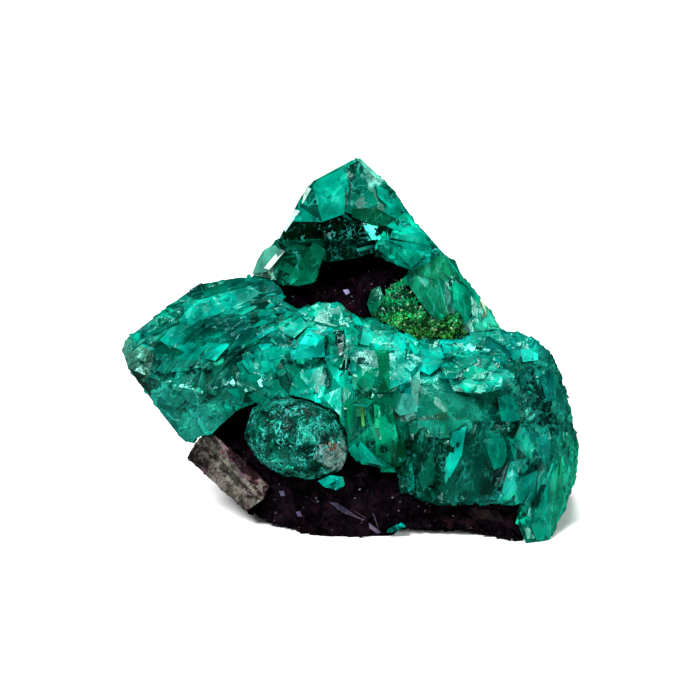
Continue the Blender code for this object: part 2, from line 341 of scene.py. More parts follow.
def scatter(node, zones, seed, most=9.0, clear=()):
    """Crystals over a node's free surface, by zone, with few of them over the outlines that are to stay clear."""
    rng = random.Random(seed)
    bm = solid_of(node)
    bmesh.ops.triangulate(bm, faces=bm.faces)
    faces = [(f.calc_area(), [v.co.copy() for v in f.verts], f.normal.copy()) for f in bm.faces]
    bm.free()
    crystals = []
    for area, (a, b, c), n in faces:
        wanted = area / MM / MM * most
        count = int(wanted) + (1 if rng.random() < wanted - int(wanted) else 0)
        for _ in range(count):
            u, v = rng.random(), rng.random()
            if u + v > 1.0:
                u, v = 1.0 - u, 1.0 - v
            p = a + (b - a) * u + (c - a) * v
            x, y, d = seen(p)
            zone = zone_of(zones, x, y, d, n, noise.noise(p / MM * 0.35))
            if rng.random() > zone["per_mm2"] / most:
                continue
            if n.dot(AWAY) < 0.1 and rng.random() < 0.85 and any(inside(outline, x, y) for outline in clear):
                continue
            if not free_space(node, p, n, 0.7 * MM):
                continue
            small, large = zone["size"]
            size = small * (large / small) ** (rng.random() ** 1.7) * MM
            kind = zone["kind"]
            if isinstance(kind, tuple):
                kind = rng.choice(kind)
            along = zone["along"].copy() if zone.get("along") else Vector((rng.gauss(0, 1), rng.gauss(0, 1), rng.gauss(0, 1))).normalized()
            along += Vector((rng.gauss(0, 1), rng.gauss(0, 1), rng.gauss(0, 1))) * zone.get("stray", 0.15)
            out = n + Vector((rng.gauss(0, 1), rng.gauss(0, 1), rng.gauss(0, 1))) * zone.get("tilt", 0.22)
            if zone.get("out"):
                out += zone["out"] * 0.8
            long, wide, thick = zone.get("shape", (1.0, 0.7, 0.6))
            frame_of = basis(out, along)
            dims = (size * long * rng.uniform(0.75, 1.25), size * wide * rng.uniform(0.7, 1.3), size * thick * rng.uniform(0.7, 1.3))
            if kind == "prism":  # stands along its length
                frame_of = basis(along.cross(out).cross(along) + out * 0.01, out + along * zone.get("slant", 0.6))
            local = SHAPES[kind](rng, *dims)
            top = max((frame_of @ q).dot(n) for q in local)
            lift = min(zone.get("lift", 0.25) * MM, 0.45 * size) * rng.uniform(0.3, 1.0)
            centre = p + n * (lift - top)
            points = kept_in(node, [centre + frame_of @ q for q in local], lift / MM)
            crystals.append(hull_object(points, vary(rng, banded(zone, p), zone.get("spread", 0.2), zone.get("bright", 0.05), zone.get("dark", 0.12)), frame_of.col[0]))
    return [c for c in crystals if c is not None]


def facet(node, outline, paint, lift=0.15, thick=1.2, lean=(0.0, 0.0), depth=None, along=None):
    """A flat crystal face: an outline in the front view that lies just in front of the node's surface."""
    rows, depths = [], []
    for x, y in outline:
        d = front_depth(node, x, y)
        if d is None:
            continue
        rows.append((x, y, 1.0))
        depths.append(d)
    if depth is not None:
        fit = (0.0, 0.0, depth)
    elif len(rows) < 3:
        return None
    else:
        fit = np.linalg.lstsq(np.array(rows), np.array(depths), rcond=None)[0]
        fit = (float(fit[0]), float(fit[1]), float(fit[2]))
    cx = sum(p[0] for p in outline) / len(outline)
    cy = sum(p[1] for p in outline) / len(outline)
    points = []
    for x, y in outline:
        d = fit[0] * x + fit[1] * y + fit[2] - lift + lean[0] * (x - cx) * 0.1 + lean[1] * (y - cy) * 0.1
        points.append(at(x, y, d))
        points.append(at(cx + (x - cx) * 0.85, cy + (y - cy) * 0.85, d + thick))
    grain = along or way(0, -1)
    return hull_object(kept_in(node, points, lift + 0.15), (*paint, 1.0), grain)


# ---------------------------------------------------------------- materials


class Nodes:
    """Short names for building one material's nodes."""

    def __init__(self, name):
        self.material = bpy.data.materials.new(name)
        self.material.use_nodes = True
        self.tree = self.material.node_tree
        self.shader = self.tree.nodes["Principled BSDF"]
        self.place = self.add("ShaderNodeTexCoord").outputs["Object"]

    def add(self, kind, **settings):
        node = self.tree.nodes.new(kind)
        for key, value in settings.items():
            setattr(node, key, value)
        return node

    def wire(self, source, target):
        if isinstance(source, (int, float, tuple)):
            target.default_value = source
        else:
            self.tree.links.new(source, target)

    def math(self, operation, a, b=0.0, c=0.0, clamp=False):
        node = self.add("ShaderNodeMath", operation=operation, use_clamp=clamp)
        for source, target in zip((a, b, c), node.inputs):
            self.wire(source, target)
        return node.outputs[0]

    def vector(self, operation, a, b=(0.0, 0.0, 0.0), scale=None):
        node = self.add("ShaderNodeVectorMath", operation=operation)
        self.wire(a, node.inputs[0])
        if operation not in ("NORMALIZE", "LENGTH", "SCALE"):
            self.wire(b, node.inputs[1])
        if scale is not None:
            self.wire(scale, node.inputs["Scale"])
        return node.outputs["Value"] if operation in ("DOT_PRODUCT", "LENGTH", "DISTANCE") else node.outputs["Vector"]

    def ramp(self, value, low, high, out_low=0.0, out_high=1.0, smooth=True):
        node = self.add("ShaderNodeMapRange", interpolation_type="SMOOTHSTEP" if smooth else "LINEAR", clamp=True)
        for source, target in zip((value, low, high, out_low, out_high), node.inputs):
            self.wire(source, target)
        return node.outputs[0]

    def mix(self, factor, a, b, blend="MIX"):
        node = self.add("ShaderNodeMix", data_type="RGBA", blend_type=blend)
        self.wire(factor, node.inputs[0])
        for source, target in ((a, node.inputs[6]), (b, node.inputs[7])):
            self.wire((*source, 1.0) if isinstance(source, tuple) and len(source) == 3 else source, target)
        return node.outputs[2]

    def scaled(self, amount, source=None):
        """Object coordinates in units of 1/amount millimetres."""
        return self.vector("SCALE", source or self.place, scale=1000.0 * amount)

    def noise(self, coords, detail=4.0, roughness=0.55, distortion=0.0):
        node = self.add("ShaderNodeTexNoise")
        self.wire(coords, node.inputs["Vector"])
        node.inputs["Scale"].default_value = 1.0
        node.inputs["Detail"].default_value = detail
        node.inputs["Roughness"].default_value = roughness
        node.inputs["Distortion"].default_value = distortion
        return node

    def voronoi(self, coords, feature="F1", randomness=1.0):
        node = self.add("ShaderNodeTexVoronoi", feature=feature)
        self.wire(coords, node.inputs["Vector"])
        node.inputs["Scale"].default_value = 1.0
        node.inputs["Randomness"].default_value = randomness
        return node

    def attribute(self, name):
        return self.add("ShaderNodeAttribute", attribute_name=name)


def crystal_material(
    name, transmission, gain=1.9, rough=(0.04, 0.24), absorb=((0.02, 0.74, 0.50), 380.0), tilt=0.22, cells=1.5, fine_tilt=0.3, crackle=0.6, grain=0.35, specks=0.0
):
    """Dioptase: see-through teal with small broken faces, growth lines, and pale bruises and cracks."""
    k = Nodes(name)
    paint = k.attribute("paint").outputs["Color"]
    along = k.attribute("grain").outputs["Vector"]
    normal = k.add("ShaderNodeNewGeometry").outputs["Normal"]
    p = k.scaled(1.0)
    # stretched along the crystal's own direction, and bent a little
    run = k.vector("DOT_PRODUCT", p, along)
    thin = k.vector("SUBTRACT", p, k.vector("SCALE", along, scale=k.math("MULTIPLY", run, 0.7)))
    soft = k.noise(k.scaled(0.8), 3.0).outputs["Fac"]
    wide = k.noise(k.scaled(0.3), 2.0).outputs["Fac"]
    bend = k.add("ShaderNodeCombineXYZ")
    for i in range(3):
        k.wire(soft, bend.inputs[i])
    # broken faces of two sizes, each with a tilt and a shade of its own
    broken = k.voronoi(k.vector("SCALE", k.vector("ADD", thin, bend.outputs[0]), scale=cells))
    small = k.voronoi(k.vector("SCALE", thin, scale=cells * 3.3))
    patch = k.ramp(soft, 0.45, 0.62)
    turn = k.vector("SCALE", k.vector("SUBTRACT", broken.outputs["Color"], (0.5, 0.5, 0.5)), scale=tilt)
    turn_small = k.vector("SCALE", k.vector("SUBTRACT", small.outputs["Color"], (0.5, 0.5, 0.5)), scale=k.math("MULTIPLY", patch, fine_tilt))
    normal = k.vector("NORMALIZE", k.vector("ADD", normal, k.vector("ADD", turn, turn_small)))
    lines = k.noise(k.vector("SCALE", thin, scale=5.0), 1.0, 0.6).outputs["Fac"]
    bump = k.add("ShaderNodeBump")
    bump.inputs["Strength"].default_value = grain
    bump.inputs["Distance"].default_value = 0.00006
    k.wire(lines, bump.inputs["Height"])
    k.wire(normal, bump.inputs["Normal"])
    k.wire(bump.outputs["Normal"], k.shader.inputs["Normal"])
    # colour
    cell = k.add("ShaderNodeSeparateColor")
    k.wire(broken.outputs["Color"], cell.inputs[0])
    tiny = k.add("ShaderNodeSeparateColor")
    k.wire(small.outputs["Color"], tiny.inputs[0])
    shade = k.math("MULTIPLY", k.ramp(cell.outputs[0], 0.0, 1.0, 0.65 * gain, 1.35 * gain, False), k.ramp(wide, 0.36, 0.64, 0.55, 1.35, False))
    shade = k.math("MULTIPLY", shade, k.math("ADD", 1.0, k.math("MULTIPLY", patch, k.math("SUBTRACT", tiny.outputs[2], 0.5))))
    colour = k.vector("MULTIPLY", k.vector("SCALE", paint, scale=shade), (0.8, 1.0, 0.94))
    crack = k.voronoi(k.vector("SCALE", k.vector("ADD", thin, bend.outputs[0]), scale=1.9), "DISTANCE_TO_EDGE").outputs["Distance"]
    line = k.math("MULTIPLY", k.ramp(crack, 0.0, 0.06, 1.0, 0.0), k.ramp(wide, 0.5, 0.62))
    line = k.math("MAXIMUM", line, k.math("MULTIPLY", k.ramp(small.outputs["Distance"], 0.55, 0.7), k.ramp(soft, 0.5, 0.64)))
    line = k.math("MULTIPLY", line, crackle, clamp=True)
    colour = k.mix(line, colour, (0.03, 0.50, 0.42))
    if specks:
        dots = k.voronoi(k.scaled(2.2)).outputs["Distance"]
        colour = k.mix(k.math("MULTIPLY", k.ramp(dots, 0.12, 0.2, 1.0, 0.0), specks), colour, (0.0, 0.012, 0.006))
    k.wire(colour, k.shader.inputs["Base Color"])
    low, high = rough
    shine = k.ramp(cell.outputs[1], 0.2, 1.0, low, high)
    k.wire(k.math("ADD", shine, k.math("MULTIPLY", line, 0.3)), k.shader.inputs["Roughness"])
    k.shader.inputs["Transmission Weight"].default_value = transmission
    k.shader.inputs["IOR"].default_value = 1.66
    k.shader.inputs["Specular IOR Level"].default_value = 0.25
    k.shader.inputs["Specular Tint"].default_value = (0.4, 1.0, 0.9, 1.0)
    inside = k.add("ShaderNodeVolumeAbsorption")
    inside.inputs["Color"].default_value = (*absorb[0], 1.0)
    inside.inputs["Density"].default_value = absorb[1]
    k.tree.links.new(inside.outputs[0], k.tree.nodes["Material Output"].inputs["Volume"])
    return k.material


def rock_material(name, dark, light, tint, rough=(0.35, 0.8), painted_glint_share=0.02, bump_mm=0.12, shine=0.5, cracks=0.0):
    """Broken rock: dark and light patches, a tint, fine pits, and a few smoother grains painted light as glints."""
    k = Nodes(name)
    paint = k.attribute("paint").outputs["Color"]
    wide = k.noise(k.scaled(0.35), 3.0, 0.62).outputs["Fac"]
    fine = k.noise(k.scaled(2.4), 3.0, 0.65).outputs["Fac"]
    colour = k.mix(k.ramp(wide, 0.38, 0.66), dark, light)
    colour = k.mix(k.ramp(k.noise(k.scaled(0.8), 2.0).outputs["Fac"], 0.52, 0.7), colour, tint)
    colour = k.mix(k.ramp(fine, 0.5, 0.72, 0.0, 0.75), colour, (dark[0] * 0.35, dark[1] * 0.35, dark[2] * 0.35))
    colour = k.mix(1.0, colour, paint, "MULTIPLY")
    if cracks:
        bent = k.vector("ADD", k.scaled(1.0), k.vector("SCALE", k.noise(k.scaled(1.5), 2.0).outputs["Color"], scale=1.2))
        edge = k.voronoi(bent, "DISTANCE_TO_EDGE").outputs["Distance"]
        colour = k.mix(k.math("MULTIPLY", k.ramp(edge, 0.0, 0.07, 1.0, 0.0), cracks), colour, (0.004, 0.003, 0.003))
    cell = k.voronoi(k.scaled(6.5))
    pick = k.add("ShaderNodeSeparateColor")
    k.wire(cell.outputs["Color"], pick.inputs[0])
    # painted glints: a few tiny cells are painted light, standing in for reflected light, and are made smoother
    painted_glint = k.ramp(pick.outputs[0], 1.0 - painted_glint_share * 1.5, 1.0 - painted_glint_share, 0.0, 1.0)
    colour = k.mix(painted_glint, colour, (0.07, 0.08, 0.085))
    k.shader.inputs["Specular IOR Level"].default_value = shine
    k.wire(colour, k.shader.inputs["Base Color"])
    k.wire(k.math("SUBTRACT", k.ramp(fine, 0.3, 0.7, rough[0], rough[1]), k.math("MULTIPLY", painted_glint, 0.3)), k.shader.inputs["Roughness"])
    bump = k.add("ShaderNodeBump")
    bump.inputs["Strength"].default_value = 0.9
    bump.inputs["Distance"].default_value = bump_mm * MM
    k.wire(fine, bump.inputs["Height"])
    normal = k.add("ShaderNodeNewGeometry").outputs["Normal"]
    turn = k.vector("SCALE", k.vector("SUBTRACT", cell.outputs["Color"], (0.5, 0.5, 0.5)), scale=0.5)
    k.wire(k.vector("NORMALIZE", k.vector("ADD", normal, turn)), bump.inputs["Normal"])
    k.wire(bump.outputs["Normal"], k.shader.inputs["Normal"])
    return k.material


# ---------------------------------------------------------------- zones

GRAIN = way(31, -29, 12)
SLOPE = way(40, -12, 3)
STEEP = way(-6, 50, -8)

RIDGE_ZONES = [
    dict(at=(205, 302), r=(70, 20), kind="plate", size=(1.10, 6.00), shape=(1.0, 0.24, 0.16), along=SLOPE, per_mm2=0.91, lift=0.2, paint=(0.000, 0.172, 0.132), spread=0.14, bright=0.02, dark=0.05, bands=0.5),
    dict(at=(190, 338), r=(70, 20), kind="plate", size=(1.10, 6.40), shape=(1.0, 0.22, 0.16), along=GRAIN, per_mm2=0.98, lift=0.25, paint=(0.000, 0.110, 0.083), spread=0.14, bright=0.02, dark=0.05, bands=0.5),
    dict(at=(200, 372), r=(55, 16), kind=("plate", "block"), size=(0.76, 3.74), shape=(1.0, 0.4, 0.3), along=GRAIN, per_mm2=1.51, lift=0.25, paint=(0.003, 0.153, 0.108), spread=0.14, bright=0.02, dark=0.05, bands=0.5),
    dict(at=(185, 408), r=(45, 25), kind=("plate", "block"), size=(0.76, 3.43), shape=(1.0, 0.45, 0.35), along=GRAIN, per_mm2=1.51, lift=0.25, paint=(0.01, 0.22, 0.17), spread=0.14, bright=0.02, dark=0.05, bands=0.5),
    dict(at=(137, 358), r=(16, 24), kind=("plate", "lump"), size=(0.41, 1.56), shape=(1.0, 0.5, 0.4), along=GRAIN, per_mm2=2.88, lift=0.2, paint=(0.045, 0.162, 0.117)),
    dict(at=(290, 338), r=(32, 20), kind="block", size=(0.87, 3.79), per_mm2=1.14, lift=0.35, paint=(0.000, 0.270, 0.204)),
    dict(at=(265, 378), r=(38, 22), kind=("block", "prism"), size=(0.87, 3.45), along=way(20, 30, -10), per_mm2=1.14, lift=0.3, paint=(0.000, 0.192, 0.136)),
    dict(at=(334, 312), r=(22, 9), kind="block", size=(0.54, 1.68), per_mm2=1.01, lift=0.15, paint=(0.0, 0.24, 0.17)),
    dict(at=(365, 350), r=(32, 26), kind=("block", "prism"), size=(1.09, 4.14), along=STEEP, per_mm2=0.87, lift=0.3, paint=(0.000, 0.238, 0.170)),
    dict(at=(402, 362), r=(12, 28), kind=("block", "prism"), size=(1.09, 3.79), along=STEEP, per_mm2=0.73, lift=0.3, paint=(0.000, 0.303, 0.224)),
    dict(at=(325, 385), r=(28, 22), kind=("block", "prism"), size=(1.09, 3.79), along=STEEP, per_mm2=1.01, lift=0.3, paint=(0.000, 0.270, 0.198)),
    dict(at=(368, 430), r=(30, 36), kind=("prism", "block"), size=(0.95, 3.90), along=STEEP, per_mm2=1.07, lift=0.3, paint=(0.000, 0.180, 0.099)),
    dict(at=(404, 405), r=(15, 14), kind="block", size=(0.41, 1.44), per_mm2=2.88, lift=0.25, paint=(0.12, 0.42, 0.33)),
    dict(at=(440, 355), r=(38, 15), kind="block", size=(0.87, 3.45), per_mm2=1.07, lift=0.35, paint=(0.000, 0.300, 0.230)),
    dict(at=(482, 376), r=(34, 13), kind="block", size=(0.54, 1.92), per_mm2=1.15, lift=0.2, paint=(0.005, 0.361, 0.275)),
    dict(at=(450, 410), r=(38, 20), kind="block", size=(0.54, 1.92), per_mm2=1.08, lift=0.18, paint=(0.004, 0.151, 0.101)),
    dict(at=(520, 346), r=(28, 13), kind="block", size=(0.51, 1.95), per_mm2=1.81, lift=0.25, paint=(0.000, 0.240, 0.190)),
    dict(at=(540, 395), r=(32, 44), kind=("block", "lump"), size=(0.51, 1.95), per_mm2=2.22, lift=0.25, paint=(0.004, 0.130, 0.095)),
    dict(at=(424, 468), r=(26, 28), kind=("prism", "block"), size=(0.75, 3.17), along=STEEP, per_mm2=1.47, lift=0.3, paint=(0.000, 0.029, 0.016)),
    dict(at=(475, 465), r=(30, 32), kind=("prism", "plate"), size=(0.75, 3.96), shape=(1.0, 0.45, 0.4), along=way(-17, 56, -4), per_mm2=1.47, lift=0.3, paint=(0.001, 0.045, 0.031)),
    dict(at=(525, 465), r=(26, 34), kind=("block", "plate"), size=(0.75, 3.17), shape=(1.0, 0.5, 0.4), along=way(-22, 45, 0), per_mm2=1.47, lift=0.28, paint=(0.003, 0.183, 0.130)),
    dict(at=(566, 475), r=(12, 44), kind=("plate", "block"), size=(0.68, 2.64), shape=(1.0, 0.5, 0.3), along=way(-10, 45, 0), per_mm2=1.73, lift=0.2, paint=(0.009, 0.326, 0.209)),
    dict(at=(545, 528), r=(26, 13), kind=("block", "plate"), size=(0.54, 2.16), shape=(1.0, 0.5, 0.4), along=way(-20, 45, 0), per_mm2=1.73, lift=0.2, paint=(0.000, 0.284, 0.170)),
    dict(at=(0, 0), r=(1, 1), kind=("block", "prism", "plate"), size=(0.81, 3.60), per_mm2=0.94, lift=0.35, paint=(0.0, 0.22, 0.15)),
]

PEAK_ZONES = [
    dict(at=(316, 200), r=(20, 28), kind="block", size=(0.50, 1.60), per_mm2=0.15, lift=0.12, paint=(0.000, 0.156, 0.104), spread=0.1, bright=0.0, dark=0.02, bands=0.2),
    dict(at=(356, 200), r=(26, 20), kind=("block", "lump"), size=(0.40, 2.00), per_mm2=0.60, lift=0.2, paint=(0.000, 0.066, 0.044), spread=0.1, bright=0.0, dark=0.02, bands=0.2),
    dict(at=(352, 168), r=(20, 9), kind="block", size=(0.40, 1.80), per_mm2=0.40, lift=0.15, paint=(0.000, 0.167, 0.117), spread=0.1, bright=0.0, dark=0.02, bands=0.2),
    # the near-black band under the ledge is painted shadow
    dict(at=(340, 228), r=(60, 8), kind="block", size=(0.40, 1.80), per_mm2=1.00, lift=0.25, paint=(0.000, 0.005, 0.002), spread=0.1, bright=0.0, dark=0.02, bands=0.2),
    dict(at=(303, 262), r=(24, 18), kind="block", size=(0.40, 1.40), per_mm2=0.60, lift=0.12, paint=(0.000, 0.089, 0.048), spread=0.1, bright=0.0, dark=0.02, bands=0.2),
    dict(at=(370, 232), r=(10, 7), kind=("lump", "block"), size=(0.14, 0.42), per_mm2=14.00, lift=0.2, paint=(0.033, 0.462, 0.374), spread=0.5),
    # the near-black strip where the peak overhangs the cavity is painted shade
    dict(at=(350, 250), r=(25, 10), kind="block", size=(0.40, 1.40), per_mm2=1.60, lift=0.2, paint=(0.000, 0.012, 0.007), spread=0.1, bright=0.0, dark=0.02, bands=0.2),
    dict(at=(264, 264), r=(12, 14), kind="plate", size=(0.4, 1.8), shape=(1.0, 0.3, 0.2), along=way(14, -22, 0), per_mm2=2.0, lift=0.15, paint=(0.16, 0.36, 0.30), spread=0.1, bright=0.0, dark=0.02, bands=0.2),
    dict(at=(386, 205), r=(14, 16), kind=("block", "plate"), size=(0.40, 1.80), per_mm2=0.60, lift=0.15, paint=(0.000, 0.180, 0.130), spread=0.1, bright=0.0, dark=0.02, bands=0.2),
    dict(at=(408, 246), r=(22, 24), kind="plate", size=(0.60, 2.60), shape=(1.0, 0.35, 0.25), along=way(30, -8, 0), per_mm2=1.60, lift=0.2, paint=(0.000, 0.224, 0.163), spread=0.1, bright=0.0, dark=0.02, bands=0.2),
    dict(at=(436, 272), r=(26, 16), kind="block", size=(0.60, 2.00), per_mm2=0.40, lift=0.15, paint=(0.003, 0.140, 0.076), spread=0.1, bright=0.0, dark=0.02, bands=0.2),
    dict(at=(464, 305), r=(16, 22), kind="block", size=(0.60, 2.20), per_mm2=0.50, lift=0.2, paint=(0.000, 0.266, 0.157), spread=0.1, bright=0.0, dark=0.02, bands=0.2),
    dict(at=(490, 325), r=(10, 14), kind="block", size=(0.3, 1.2), per_mm2=3.0, lift=0.15, paint=(0.02, 0.30, 0.20), spread=0.1, bright=0.0, dark=0.02, bands=0.2),
    dict(at=(0, 0), r=(1, 1), kind=("block", "plate"), size=(0.6, 3.2), per_mm2=1.1, lift=0.3, paint=(0.0, 0.22, 0.14)),
]

ROCK_ZONES = [
    dict(at=(350, 500), r=(90, 30), kind=("lump", "block"), size=(0.4, 2.2), per_mm2=2.6, lift=0.35, paint=(1.7, 1.6, 2.0), spread=0.45),
    dict(at=(0, 0), r=(1, 1), kind=("lump", "block"), size=(0.6, 3.2), per_mm2=1.4, lift=0.45, paint=(2.6, 2.3, 2.3), spread=0.6),
]

GREY_ZONES = [
    dict(at=(222, 476), r=(26, 22), kind=("lump", "block"), size=(0.3, 1.2), per_mm2=4.0, lift=0.14, paint=(1.1, 1.08, 1.05), spread=0.25),
    dict(at=(204, 450), r=(14, 14), kind=("lump", "block"), size=(0.3, 1.2), per_mm2=4.0, lift=0.14, paint=(1.4, 1.4, 1.36), spread=0.25),
    dict(at=(231, 453), r=(10, 10), kind=("lump", "block"), size=(0.3, 1.2), per_mm2=4.0, lift=0.14, paint=(0.75, 0.42, 0.58), spread=0.25),
    dict(at=(252, 470), r=(11, 10), kind=("lump", "block"), size=(0.3, 1.2), per_mm2=4.0, lift=0.14, paint=(0.8, 0.45, 0.6), spread=0.25),
    dict(at=(0, 0), r=(1, 1), kind=("lump", "block"), size=(0.3, 1.4), per_mm2=3.0, lift=0.15, paint=(1.0, 1.0, 1.0), spread=0.2),
]

NODULE_ZONES = [
    dict(at=(290, 436), r=(50, 42), kind="plate", size=(0.5, 2.6), shape=(1.0, 0.14, 0.14), per_mm2=4.5, lift=0.2, paint=(0.0, 0.13, 0.085), spread=0.8),
    dict(at=(331, 452), r=(17, 15), kind="lump", size=(0.3, 1.0), per_mm2=5.0, lift=0.15, paint=(0.34, 0.46, 0.42), spread=0.4),
    dict(at=(0, 0), r=(1, 1), kind="plate", size=(0.4, 1.8), shape=(1.0, 0.22, 0.16), per_mm2=2.0, lift=0.12, paint=(0.01, 0.17, 0.115)),
]


def zone_paint(zones, p, n):
    x, y, d = seen(p)
    return zone_of(zones, x, y, d, n, noise.noise(p / MM * 0.35))


def base_object(node):
    """The node's own solid in millimetres, its faces marked to take their zone's colour later."""
    bm = solid_of(node)
    bmesh.ops.triangulate(bm, faces=bm.faces)
    bmesh.ops.scale(bm, vec=(1 / MM, 1 / MM, 1 / MM), verts=bm.verts)
    colours = bm.faces.layers.float_color.new("paint")
    grains = bm.faces.layers.float_vector.new("grain")
    for f in bm.faces:
        f[colours] = (0.0, 0.0, 0.0, 0.0)
        f[grains] = (0.0, 0.0, 1.0)
    mesh = bpy.data.meshes.new(node + "_base")
    bm.to_mesh(mesh)
    bm.free()
    return bpy.data.objects.new(node + "_base", mesh)


def colour_base(mesh, zones, seed):
    """Gives each face that the base left bare its zone's colour and direction."""
    rng = random.Random(seed)
    colours, grains = mesh.attributes["paint"].data, mesh.attributes["grain"].data
    for f in mesh.polygons:
        if colours[f.index].color[3] < 0.5:
            zone = zone_paint(zones, f.center, f.normal)
            colours[f.index].color = vary(rng, banded(zone, f.center), 0.12, 0.0, 0.0)
            grains[f.index].vector = zone.get("along") or way(0, -1)


def paint_crevice_shade(mesh, reach=1.6, power=1.3, least=0.22):
    """Painted shade: takes each face's colour down by how closed in it is within reach (in millimetres), occlusion
    baked into the colour.
    """
    rng = random.Random(5)
    bm = bmesh.new()
    bm.from_mesh(mesh)
    tree = BVHTree.FromBMesh(bm)
    bm.free()
    ways = []
    while len(ways) < 14:
        v = Vector((rng.uniform(-1, 1), rng.uniform(-1, 1), rng.uniform(-1, 1)))
        if 0.1 < v.length < 1.0:
            ways.append(v.normalized())
    colours = mesh.attributes["paint"].data
    for f in mesh.polygons:
        n = f.normal
        start = f.center + n * 1e-5
        seen_out, total = 0.0, 0.0
        for v in ways:
            c = v.dot(n)
            if c < 0.0:
                v, c = -v, -c
            if c < 0.12:
                continue
            total += c
            hit = tree.ray_cast(start, v, reach * MM)
            if hit[0] is None:
                seen_out += c
            else:
                seen_out += c * 0.5 * (hit[3] / (reach * MM))
        open_share = seen_out / total if total else 1.0
        gain = least + (1.0 - least) * min(1.0, open_share * 1.08) ** power
        r, g, b, _ = colours[f.index].color
        colours[f.index].color = (r * gain, g * gain, b * gain, 1.0)


# ---------------------------------------------------------------- pieces

ridge_material = crystal_material("ridge_dioptase", 0.5, gain=1.2, tilt=0.14, cells=1.0, fine_tilt=0.26, crackle=0.3, grain=0.25)
peak_material = crystal_material("peak_dioptase", 0.32, gain=1.1, rough=(0.03, 0.18), tilt=0.08, cells=0.8, fine_tilt=0.14, crackle=0.3, grain=0.15)
nodule_material = crystal_material("nodule_dioptase", 0.3, gain=0.55, rough=(0.15, 0.45), tilt=0.3, cells=2.2, fine_tilt=0.5, crackle=1.0, grain=0.5)
clear_material = crystal_material("clear_dioptase", 0.5, gain=0.8, absorb=((0.02, 0.74, 0.50), 1500.0), rough=(0.05, 0.2), tilt=0.15, crackle=0.2)
druse_material = crystal_material("druse_dioptase", 0.35, gain=1.0, rough=(0.1, 0.35), absorb=((0.1, 0.8, 0.2), 1500.0), tilt=0.2, crackle=0.0, grain=0.2)
rock = rock_material("oxide_rock", (0.0012, 0.0005, 0.0012), (0.006, 0.003, 0.006), (0.010, 0.0035, 0.006), rough=(0.4, 0.8), painted_glint_share=0.004, shine=0.03)
grey = rock_material("weathered_rock", (0.022, 0.018, 0.016), (0.15, 0.135, 0.118), (0.075, 0.040, 0.055), rough=(0.6, 0.95), painted_glint_share=0.01, bump_mm=0.1, shine=0.2, cracks=0.8)


def faces_of(node, rows):
    """Listed flat faces: (outline, colour, lift in millimetres, lean right and down)."""
    return [facet(node, outline, paint, lift, lean=lean) for outline, paint, lift, lean in rows]


